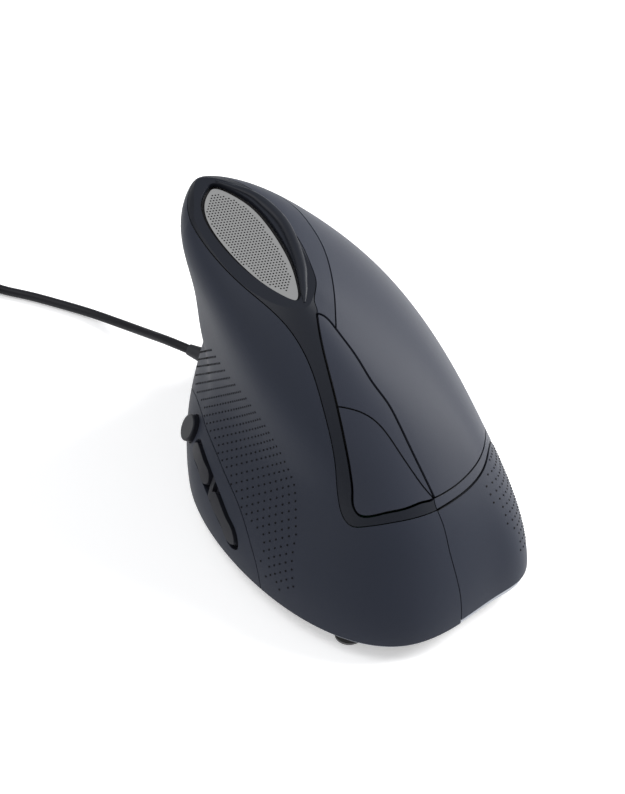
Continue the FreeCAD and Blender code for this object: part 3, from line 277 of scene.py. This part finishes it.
# %% Finishes of this mouse
soft_shell = finish("soft_shell", (0.021, 0.025, 0.038), 0.56, grain=0.35, sheen=0.04, gloss=0.17)
soft_key = finish("soft_key", (0.025, 0.029, 0.043), 0.52, grain=0.3, sheen=0.05, gloss=0.19)
satin_trim = finish("satin_trim", (0.011, 0.013, 0.019), 0.42, grain=0.12, gloss=0.2)
thumb_plastic = finish("thumb_plastic", (0.012, 0.013, 0.018), 0.42, grain=0.2, gloss=0.22)
dark_inside = finish("dark_inside", (0.012, 0.012, 0.014), 0.7)
base_plastic = finish("base_plastic", (0.095, 0.093, 0.09), 0.5, grain=0.3)
light_guide = finish("light_guide", (0.36, 0.38, 0.42), 0.3, grain=0.1)
bright_metal = finish("bright_metal", (0.82, 0.82, 0.81), 0.16, metal=1.0, tone=0.03)
lead_sheath = finish("lead_sheath", (0.009, 0.009, 0.012), 0.48, grain=0.15, gloss=0.2)
plug_plastic = finish("plug_plastic", (0.022, 0.023, 0.028), 0.5, grain=0.4)
tyre_rubber = finish("tyre_rubber", (0.018, 0.018, 0.02), 0.7, grain=0.5)
glide = finish("glide", (0.11, 0.11, 0.112), 0.3, grain=0.1)
board_green = finish("board_green", (0.01, 0.075, 0.035), 0.35)
package_black = finish("package_black", (0.012, 0.012, 0.012), 0.45, grain=0.3)
socket_white = finish("socket_white", (0.7, 0.7, 0.68), 0.4)
plated_steel = finish("plated_steel", (0.62, 0.62, 0.62), 0.28, metal=1.0)
clear_lens = finish("clear_lens", (0.75, 0.8, 0.82), 0.08)
lamp_red = finish("lamp_red", (0.5, 0.05, 0.04), 0.15)
dress(soft_shell, "left_shell", "right_shell", "thumb_skirt")
dress(soft_key, "index_button", "middle_button", "palm_panel", "spine_panel")
dress(satin_trim, "spine_frame")
dress(thumb_plastic, "thumb_bezel", "forward_button", "back_button", "dpi_button")
dress(bright_metal, "grille", "grille_rim")
dress(light_guide, "light_strip")
dress(base_plastic, "base_plate")
dress(dark_inside, "spine_carrier", "inner_frame", "wheel_carrier", "scroll_hub")
dress(glide, "feet")
dress(plated_steel, "base_screws", "board_screws", "plug_shell", "wheel_axle")
dress(board_green, "main_board", "side_board", "thumb_board")
dress(package_black, "sensor_chip", "controller_chip", "index_switch", "middle_switch", "thumb_switches")
dress(package_black, "wheel_switch", "wheel_encoder")
dress(socket_white, "cable_socket", "index_plunger", "middle_plunger", "plug_tongue")
dress(clear_lens, "sensor_lens")
dress(lamp_red, "sensor_led", "glow_leds")
dress(tyre_rubber, "scroll_tyre")
dress(plug_plastic, "plug_body", "strain_relief")
dress(lead_sheath, "cable", "cable_coil", "cable_tail", "inner_lead")
lead_curve.materials.append(lead_sheath)
print("finishes:", len(bpy.data.materials))

# %% [markdown]
# ## Finding the skin
#
# Small pieces have to sit on the curved skin exactly. Rather than guess heights, a ray is sent at
# the solids and the piece goes where it lands. A BVH tree answers such questions fast, and one tree
# for each outer piece also tells which piece was hit, so that nothing lands across a seam.

# %% Rays at the outer pieces
OUTER = (
    "left_shell", "right_shell", "index_button", "middle_button", "palm_panel", "spine_panel",
    "spine_frame", "thumb_skirt", "thumb_bezel",
)
FAR_OFF = 0.2
FARTHEST = 1.0
skins = {}
for skin_name in OUTER:
    skin_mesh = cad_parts[skin_name].data
    corners = [corner.co.copy() for corner in skin_mesh.vertices]
    skins[skin_name] = BVHTree.FromPolygons(corners, [tuple(side.vertices) for side in skin_mesh.polygons])


def land(start, way):
    """First outer piece that a ray meets: its name, the place and the normal there."""
    best = (None, None, None, FARTHEST)
    for skin_name, tree in skins.items():
        place, normal, _, reach = tree.ray_cast(start, way)
        if place is not None and reach < best[3]:
            best = (skin_name, place, normal if normal.dot(way) < 0 else -normal, reach)
    return best[:3]


def lands_well(name, start, way, spare):
    """The landing on one piece, if the ground around it is that piece too."""
    got, place, normal = land(start, way)
    if got != name:
        return None
    side = way.orthogonal().normalized()
    other = way.cross(side)
    for turn in range(4):
        angle = math.pi / 2 * turn
        near = start + (side * math.cos(angle) + other * math.sin(angle)) * spare
        if land(near, way)[0] != name:
            return None
    return place, normal


def inside(point, outline):
    """Whether a flat point lies within a closed outline."""
    within = False
    for first, second in zip(outline, outline[1:] + outline[:1]):
        if (first[1] > point[1]) != (second[1] > point[1]):
            cross = first[0] + (point[1] - first[1]) * (second[0] - first[0]) / (second[1] - first[1])
            within = within != (point[0] < cross)
    return within


def corners_of(geometry):
    """The corners among what an operator returns."""
    return [part for part in geometry if isinstance(part, bmesh.types.BMVert)]


def piece_from(form, name, material, body):
    """Makes a finished bmesh a piece of the mouse."""
    bmesh.ops.recalc_face_normals(form, faces=form.faces)
    mesh = bpy.data.meshes.new(name)
    form.to_mesh(mesh)
    form.free()
    mesh.materials.append(material)
    made = bpy.data.objects.new(name, mesh)
    bpy.context.scene.collection.objects.link(made)
    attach(made, body)
    print(name, "faces:", len(mesh.polygons))
    return made


print("trees:", len(skins))

# %% [markdown]
# ## Grip dots
#
# Both grips carry rows of small dark rubber nubs that keep the hand from sliding. Each nub is a
# low truncated cone with eight sides, because several hundred of them are needed and none is more
# than a few pixels wide. On the thumb side the rows run forward and down at an angle. A nub that
# would touch a seam is left out.

# %% One nub
NUB_RADIUS = 0.00033
NUB_RISE = 0.00012
NUB_TAPER = 0.72


def add_nub(form, place, normal):
    """A low cone whose foot lies in the skin and whose top stands over it."""
    turn = normal.to_track_quat("Z", "Y").to_matrix().to_4x4()
    bmesh.ops.create_cone(
        form, cap_ends=True, cap_tris=False, segments=8, radius1=NUB_RADIUS, radius2=NUB_RADIUS * NUB_TAPER,
        depth=NUB_RISE * 3, matrix=Matrix.Translation(place - normal * NUB_RISE * 0.5) @ turn)


# %% [markdown]
# The rows fan a little: seen from the side they are nearly parallel, 1.8 mm apart at the front and
# 2 mm at the rear. Each starts at the rear border of the patch and runs forward and down to the
# seam. Both borders are a few measured places, and every row is found between them.

# %% Nubs of the thumb grip
REAR_BORDER = [
    (39.4, 12), (34, 18.5), (26.8, 27.4), (19.7, 32.1), (12.4, 34.7), (4.5, 37.3), (-7.6, 39.2), (-19.3, 38),
]
SEAM_BORDER = [
    (39.4, -20), (34, -13), (26.5, 2.7), (18.5, 10.4), (11, 17.9), (0, 25.6), (-3, 30), (-8, 32.2),
    (-16, 32.4), (-19.3, 35.6),
]
STRAYS = [(-31.2, 12.2), (-34.1, 9.7), (-38.4, 9)]
NUB_STEP = 1.35
NUB_SPARE = 0.0005
FIRST_ROW = -3
LAST_ROW = 28
WIDER_ROW = 12
FRONT_ROWS = (34, 1.78)
REAR_ROWS = (12.4, 1.98)
ROW_TILT = (0.68, 0.735)
FAN_START = -0.013
FAN_GROWTH = 0.0095
FAN_LEAST = -0.02
FAN_MOST = 0.15
FAN_PIVOT = 36
MILLIMETRE = 0.001


def border(places, across):
    """Where a border lies along a row at a given height of the row."""
    for (high, first), (low, second) in zip(places, places[1:]):
        if across >= low:
            return first + (second - first) * (high - across) / (high - low)
    return places[-1][1]


grip_form = bmesh.new()
spots = list(STRAYS)
for row in range(FIRST_ROW, LAST_ROW + 1):
    if row <= WIDER_ROW:
        across = FRONT_ROWS[0] - FRONT_ROWS[1] * row
    else:
        across = REAR_ROWS[0] - REAR_ROWS[1] * (row - WIDER_ROW)
    fan = min(FAN_MOST, max(FAN_LEAST, FAN_START + FAN_GROWTH * row))
    along = border(REAR_BORDER, across)
    while along > border(SEAM_BORDER, across):
        line = across + fan * (along - FAN_PIVOT)
        spots.append((ROW_TILT[0] * line - ROW_TILT[1] * along, ROW_TILT[1] * line + ROW_TILT[0] * along))
        along -= NUB_STEP
for spot in spots:
    start = Vector((-FAR_OFF, spot[0] * MILLIMETRE, spot[1] * MILLIMETRE))
    found = lands_well("left_shell", start, Vector((1, 0, 0)), NUB_SPARE)
    if found:
        add_nub(grip_form, *found)

# %% [markdown]
# The finger side has its own patch, for the ring and little finger. Its columns are upright, and
# its rows run forward and a little down.

# %% Nubs of the finger grip
FINGER_GRIP = [
    (-26.8, 30), (-32.5, 28.3), (-36.7, 25.6), (-37, 23.8), (-39.3, 21.2), (-40.3, 18), (-40.5, 16),
    (-41.6, 14.2), (-42.4, 10.8), (-34, 9.5), (-6, 9.0), (-4, 22), (-12, 27),
]
GRIP_CORNER = (-26.8, 29.2)
COLUMN_STEP = 1.375
COLUMN_FALL = 0.314
FINGER_ROW_STEP = 1.95
FINGER_SPARE = 0.0006
FINGER_ROWS = range(-4, 14)
FINGER_COLUMNS = range(-14, 20)
finger_form = bmesh.new()
for row in FINGER_ROWS:
    for column in FINGER_COLUMNS:
        height = GRIP_CORNER[1] - COLUMN_FALL * COLUMN_STEP * column - FINGER_ROW_STEP * row
        spot = (GRIP_CORNER[0] + COLUMN_STEP * column, height)
        if inside(spot, FINGER_GRIP):
            start = Vector((FAR_OFF, spot[0] * MILLIMETRE, spot[1] * MILLIMETRE))
            found = lands_well("right_shell", start, Vector((-1, 0, 0)), FINGER_SPARE)
            if found:
                add_nub(finger_form, *found)
nub_rubber = finish("nub_rubber", (0.003, 0.003, 0.0045), 0.65, grain=0.2, gloss=0.12)
piece_from(grip_form, "thumb_grip_nubs", nub_rubber, "housing")
piece_from(finger_form, "finger_grip_nubs", nub_rubber, "housing")

# %% [markdown]
# ## Perforated grille
#
# The crown holds an egg-shaped sheet of bright metal, pierced with several hundred staggered
# holes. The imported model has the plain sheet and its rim. Their outlines are read from merged
# copies of the two, so that the new pieces follow them exactly. The rim starts as one flat face and
# is inset three times: for a sloped outer edge, for a thin bright line on top and for a wall that
# slopes down to the sheet. Without `use_boundary`, though, an inset leaves the border of a lone
# face where it is, so these three only lower the face. The rim comes out as an upright band without
# thickness, and its lip is missing.

# %% The crown's own axes
CROWN = Vector((-0.017, 0.024, 0.0648))
CROWN_UP = Vector((0, -0.1961, 0.9806))
CROWN_BACK = Vector((0, 0.9806, 0.1961))
crown_turn = Matrix((Vector((1, 0, 0)), CROWN_BACK, CROWN_UP)).transposed().to_4x4()
crown_place = Matrix.Translation(CROWN) @ crown_turn
to_crown = crown_place.inverted()
MERGE_DISTANCE = 1e-6
LEVEL_SPARE = 5e-5
FLAT_FROM = 0.5


def outline_of(node, height):
    """Outer loop of a flat-topped solid at one height over the crown, in the crown's axes."""
    form = bmesh.new()
    form.from_mesh(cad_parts[node].data)
    bmesh.ops.transform(form, matrix=to_crown, verts=form.verts)
    bmesh.ops.remove_doubles(form, verts=form.verts, dist=MERGE_DISTANCE)
    middle = sum((corner.co for corner in form.verts), Vector()) / len(form.verts)
    ring = []
    for edge in form.edges:
        walls = [side for side in edge.link_faces if abs(side.normal.z) < FLAT_FROM]
        tops = [side for side in edge.link_faces if side.normal.z > FLAT_FROM]
        level = all(abs(end.co.z - height) < LEVEL_SPARE for end in edge.verts)
        if level and walls and tops and walls[0].normal.dot(edge.verts[0].co - middle) > 0:
            ring.append(edge)
    kept = {end for edge in ring for end in edge.verts}
    spare_edges = [edge for edge in form.edges if edge not in set(ring)]
    bmesh.ops.delete(form, geom=spare_edges, context="EDGES_FACES")
    spare_ends = [end for end in form.verts if end.is_valid and end not in kept]
    bmesh.ops.delete(form, geom=spare_ends, context="VERTS")
    return form


def loop_points(form):
    """The loop's points in order, as flat pairs."""
    here = form.verts[:][0]
    edge = here.link_edges[0]
    order = [here]
    while True:
        here = edge.other_vert(here)
        if here is order[0]:
            break
        order.append(here)
        edge = next(other for other in here.link_edges if other is not edge)
    return [(corner.co.x, corner.co.y) for corner in order]


# %% Rim
RIM_TOP = -0.0001
RIM_STEPS = [(0.00010, 0.00006), (0.00018, 0.0), (0.00045, -0.00112)]
OUTER_WALL = 0.00140
INNER_WALL = 0.00034
rim_form = outline_of("grille_rim", RIM_TOP)
bmesh.ops.contextual_create(rim_form, geom=rim_form.edges[:])
bmesh.ops.recalc_face_normals(rim_form, faces=rim_form.faces)
if rim_form.faces[:][0].normal.z < 0:
    bmesh.ops.reverse_faces(rim_form, faces=rim_form.faces[:])
outer_loop = rim_form.edges[:]
lip = []
inner = rim_form.faces[:]
for width, rise in RIM_STEPS:
    made = bmesh.ops.inset_region(rim_form, faces=inner, thickness=width, depth=rise, use_even_offset=True)
    lip += made["faces"]
    inner = [side for side in rim_form.faces if side not in lip]
sheet_edges = inner[0].edges[:]
bmesh.ops.delete(rim_form, geom=inner, context="FACES_ONLY")
low_outer = bmesh.ops.extrude_edge_only(rim_form, edges=outer_loop)["geom"]
bmesh.ops.translate(rim_form, verts=corners_of(low_outer), vec=(0, 0, -OUTER_WALL))
low_inner = bmesh.ops.extrude_edge_only(rim_form, edges=sheet_edges)["geom"]
bmesh.ops.translate(rim_form, verts=corners_of(low_inner), vec=(0, 0, -INNER_WALL))
low_edges = [part for part in low_outer + low_inner if isinstance(part, bmesh.types.BMEdge)]
bmesh.ops.bridge_loops(rim_form, edges=low_edges)
bmesh.ops.transform(rim_form, matrix=crown_place, verts=rim_form.verts)
rim_chrome = finish("rim_chrome", (0.86, 0.86, 0.85), 0.14, metal=1.0, tone=0.03)
bright_rim = piece_from(rim_form, "bright_rim", rim_chrome, "housing")
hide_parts("grille_rim")

# %% [markdown]
# The sheet is one flat outline filled around circles. Filling between closed loops with
# `triangle_fill` leaves every circle open, which is simpler than cutting holes one by one. The
# rows run straight across the mouse, 0.82 mm apart, with a hole every 0.76 mm. The sheet keeps a
# plain margin, wider on the right and at both ends.

# %% Pierced sheet
HOLE_STEP = 0.00076
HOLE_ROWS = 0.00082
HOLE_RADIUS = 0.00022
SHEET_TOP = -0.001169
SHEET_THICKNESS = 0.00012
RIGHT_MARGIN = 0.00095
LEFT_MARGIN = 0.00050
TOP_MARGIN = 0.0008
TOP_FROM = 0.75
TAIL_MARGIN = 0.0022
TAIL_FROM = 0.7
GRID_REACH = 30
EGG_LEAN = Vector((-0.336, 0.942))
CROWN_STRETCH = 1.0198
sheet_form = outline_of("grille", SHEET_TOP)
egg_line = loop_points(sheet_form)
egg_x = sum(x for x, y in egg_line) / len(egg_line)
egg_y = sum(y for x, y in egg_line) / len(egg_line)
egg_middle = Vector((egg_x, egg_y))
EGG_AXIS = Vector((EGG_LEAN.x, EGG_LEAN.y * CROWN_STRETCH)).normalized()
EGG_SIDE = Vector((EGG_AXIS.y, -EGG_AXIS.x))
egg_reach = max((Vector(spot) - egg_middle).dot(EGG_AXIS) for spot in egg_line)


def edge_distance(spot, outline):
    """How far a flat point is from a closed outline."""
    best = FARTHEST
    for first, second in zip(outline, outline[1:] + outline[:1]):
        a, b, p = Vector(first), Vector(second), Vector(spot)
        share = max(0.0, min(1.0, (p - a).dot(b - a) / max((b - a).length_squared, 1e-18)))
        best = min(best, (p - a - (b - a) * share).length)
    return best


holes = 0
for row in range(-GRID_REACH, GRID_REACH + 1):
    for column in range(-GRID_REACH, GRID_REACH + 1):
        spot = Vector((HOLE_STEP * (column + 0.5 * (row % 2)), HOLE_ROWS * row))
        beside = (spot - egg_middle).dot(EGG_SIDE)
        ahead = (spot - egg_middle).dot(EGG_AXIS)
        margin = RIGHT_MARGIN if beside > 0 else LEFT_MARGIN
        margin += TOP_MARGIN * max(0.0, ahead / egg_reach - TOP_FROM) / (1 - TOP_FROM)
        margin += TAIL_MARGIN * max(0.0, -ahead / egg_reach - TAIL_FROM) / (1 - TAIL_FROM)
        if inside(spot, egg_line) and edge_distance(spot, egg_line) > margin:
            hole_place = Matrix.Translation((spot.x, spot.y, SHEET_TOP))
            bmesh.ops.create_circle(sheet_form, segments=10, radius=HOLE_RADIUS, matrix=hole_place)
            holes += 1
bmesh.ops.triangle_fill(sheet_form, use_beauty=True, edges=sheet_form.edges[:], normal=(0, 0, 1))
print("holes:", holes, "triangles:", len(sheet_form.faces))
bmesh.ops.recalc_face_normals(sheet_form, faces=sheet_form.faces)
bmesh.ops.solidify(sheet_form, geom=sheet_form.faces[:], thickness=SHEET_THICKNESS)
bmesh.ops.transform(sheet_form, matrix=crown_place, verts=sheet_form.verts)
pierced_sheet = piece_from(sheet_form, "pierced_sheet", bright_metal, "housing")
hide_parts("grille")

# %% [markdown]
# A near-black sheet lies under the pierced sheet as painted shade. It stands in for the shade inside the
# housing, so that the holes look into darkness.

# %% Painted shade under the sheet
SHADE_SHEET_THICKNESS = 0.0001
SHADE_SHEET_DROP = 0.00028
shade_sheet_form = outline_of("grille", SHEET_TOP)
bmesh.ops.contextual_create(shade_sheet_form, geom=shade_sheet_form.edges[:])
felt_depth = bmesh.ops.extrude_face_region(shade_sheet_form, geom=shade_sheet_form.faces[:])["geom"]
bmesh.ops.translate(shade_sheet_form, verts=corners_of(felt_depth), vec=(0, 0, -SHADE_SHEET_THICKNESS))
bmesh.ops.translate(shade_sheet_form, verts=shade_sheet_form.verts, vec=(0, 0, -SHADE_SHEET_DROP))
bmesh.ops.transform(shade_sheet_form, matrix=crown_place, verts=shade_sheet_form.verts)
# The sheet's near-black colour is painted shade behind the holes.
painted_shade_black = finish("painted_shade_black", (0.008, 0.008, 0.009), 0.95, grain=0.6, gloss=0.1)
piece_from(shade_sheet_form, "painted_shade_sheet", painted_shade_black, "housing")

# %% [markdown]
# ## Bead beside the grille
#
# To the right of the rim, the trim swells into a rounded bead that starts thin at the top, runs
# along the seam and fades out at the rear end. Its section is a flat ellipse, so a ring is set up
# at each station, square to the line, and the rings are bridged.

# %% Bead stations
def ring_edges(form, ring):
    """The edges whose two ends both belong to one ring."""
    return [edge for edge in form.edges if all(end in ring for end in edge.verts)]


BEAD = [
    (-0.0218, 0.0444, 0.25), (-0.0147, 0.0395, 0.75), (-0.0110, 0.0345, 1.0), (-0.0084, 0.0286, 1.0),
    (-0.0073, 0.0215, 1.0), (-0.0071, 0.0147, 0.95), (-0.0079, 0.0086, 0.7), (-0.0088, 0.0035, 0.2),
]
BEAD_HALF_WIDTH = 0.00135
BEAD_RISE = 0.00062
STATION_STEPS = 6
bead_form = bmesh.new()
bead_line = [Vector((x, y, 0)) for x, y, _ in BEAD]
bead_size = [share for _, _, share in BEAD]
rings = []
for index in range((len(BEAD) - 1) * STATION_STEPS + 1):
    span = min(index // STATION_STEPS, len(BEAD) - 2)
    share = index / STATION_STEPS - span
    before, after = max(span - 1, 0), min(span + 2, len(BEAD) - 1)
    a, b, c, d = bead_line[before], bead_line[span], bead_line[span + 1], bead_line[after]
    square, cube = 2 * a - 5 * b + 4 * c - d, 3 * b - a - 3 * c + d
    flat = 0.5 * ((2 * b) + (c - a) * share + square * share ** 2 + cube * share ** 3)
    slope = 0.5 * ((c - a) + 2 * square * share + 3 * cube * share ** 2)
    ease = share * share * (3 - 2 * share)
    size_here = bead_size[span] * (1 - ease) + bead_size[span + 1] * ease
    _, place, normal = land(Vector((flat.x, flat.y, FAR_OFF)), Vector((0, 0, -1)))
    along = (slope - normal * slope.dot(normal)).normalized()
    across = along.cross(normal).normalized()
    ring_place = Matrix.Translation(place) @ Matrix((across, normal, along)).transposed().to_4x4()
    ring_size = Matrix.Diagonal((BEAD_HALF_WIDTH * size_here, BEAD_RISE * size_here, 1, 1))
    made_ring = bmesh.ops.create_circle(bead_form, segments=20, radius=1.0, matrix=ring_place @ ring_size)
    rings.append(made_ring["verts"])
for first, second in zip(rings, rings[1:]):
    bmesh.ops.bridge_loops(bead_form, edges=ring_edges(bead_form, first) + ring_edges(bead_form, second))
for end_ring in (rings[0], rings[-1]):
    bmesh.ops.contextual_create(bead_form, geom=ring_edges(bead_form, end_ring))
bead = piece_from(bead_form, "trim_bead", satin_trim, "housing")
for side in bead.data.polygons:
    side.use_smooth = True

# %% [markdown]
# ## Tyre of the wheel
#
# The rubber tyre is a turned ring with rounded shoulders. Its tread has cross grooves, one every
# seven and a half degrees, that the fingertip can feel. The ring is spun from its section, and
# every other block of the tread is raised.

# %% Ribbed tyre
WHEEL_CENTRE = Vector((0.0142, 0.0360, 0.0246))
WHEEL_AXIS = Vector((-0.195, 0, 0.981)).normalized()
WHEEL_OUT = Vector((0.981, 0, 0.195)).normalized()
TYRE_SECTION = [
    (0.00835, -0.0030), (0.0096, -0.0030), (0.0100, -0.0027), (0.01022, -0.0021), (0.01030, -0.0013),
    (0.01030, 0.0013), (0.01022, 0.0021), (0.0100, 0.0027), (0.0096, 0.0030), (0.00835, 0.0030),
]
TREAD_STEPS = 96
TREAD_FROM = 0.01015
TREAD_RISE = 0.0002
STEP_SPARE = 0.001
tyre_form = bmesh.new()
section = [tyre_form.verts.new(WHEEL_CENTRE + WHEEL_OUT * out + WHEEL_AXIS * up) for out, up in TYRE_SECTION]
section_edges = [tyre_form.edges.new(pair) for pair in zip(section, section[1:] + section[:1])]
bmesh.ops.spin(
    tyre_form, geom=section + section_edges, cent=WHEEL_CENTRE, axis=WHEEL_AXIS, angle=math.tau,
    steps=TREAD_STEPS, use_merge=True,
)
bmesh.ops.remove_doubles(tyre_form, verts=tyre_form.verts, dist=MERGE_DISTANCE)
bmesh.ops.recalc_face_normals(tyre_form, faces=tyre_form.faces)
tread = []
for side in tyre_form.faces:
    off = side.calc_center_median() - WHEEL_CENTRE
    off -= WHEEL_AXIS * off.dot(WHEEL_AXIS)
    if off.length > TREAD_FROM:
        angle = math.atan2(off.dot(WHEEL_OUT.cross(WHEEL_AXIS)), off.dot(WHEEL_OUT)) % math.tau
        if int(angle / math.tau * TREAD_STEPS + STEP_SPARE) % 2 == 0:
            tread.append(side)
for corner in corners_of(bmesh.ops.extrude_face_region(tyre_form, geom=tread)["geom"]):
    off = corner.co - WHEEL_CENTRE
    off -= WHEEL_AXIS * off.dot(WHEEL_AXIS)
    corner.co += off.normalized() * TREAD_RISE
bmesh.ops.delete(tyre_form, geom=[side for side in tread if side.is_valid], context="FACES_ONLY")
tyre = piece_from(tyre_form, "ribbed_tyre", tyre_rubber, "scroll_wheel")
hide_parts("scroll_tyre")

# %% [markdown]
# ## Last step
#
# The view layer is brought up to date, so that every piece stands where it was put.

# %% Update the view layer
bpy.context.view_layer.update()
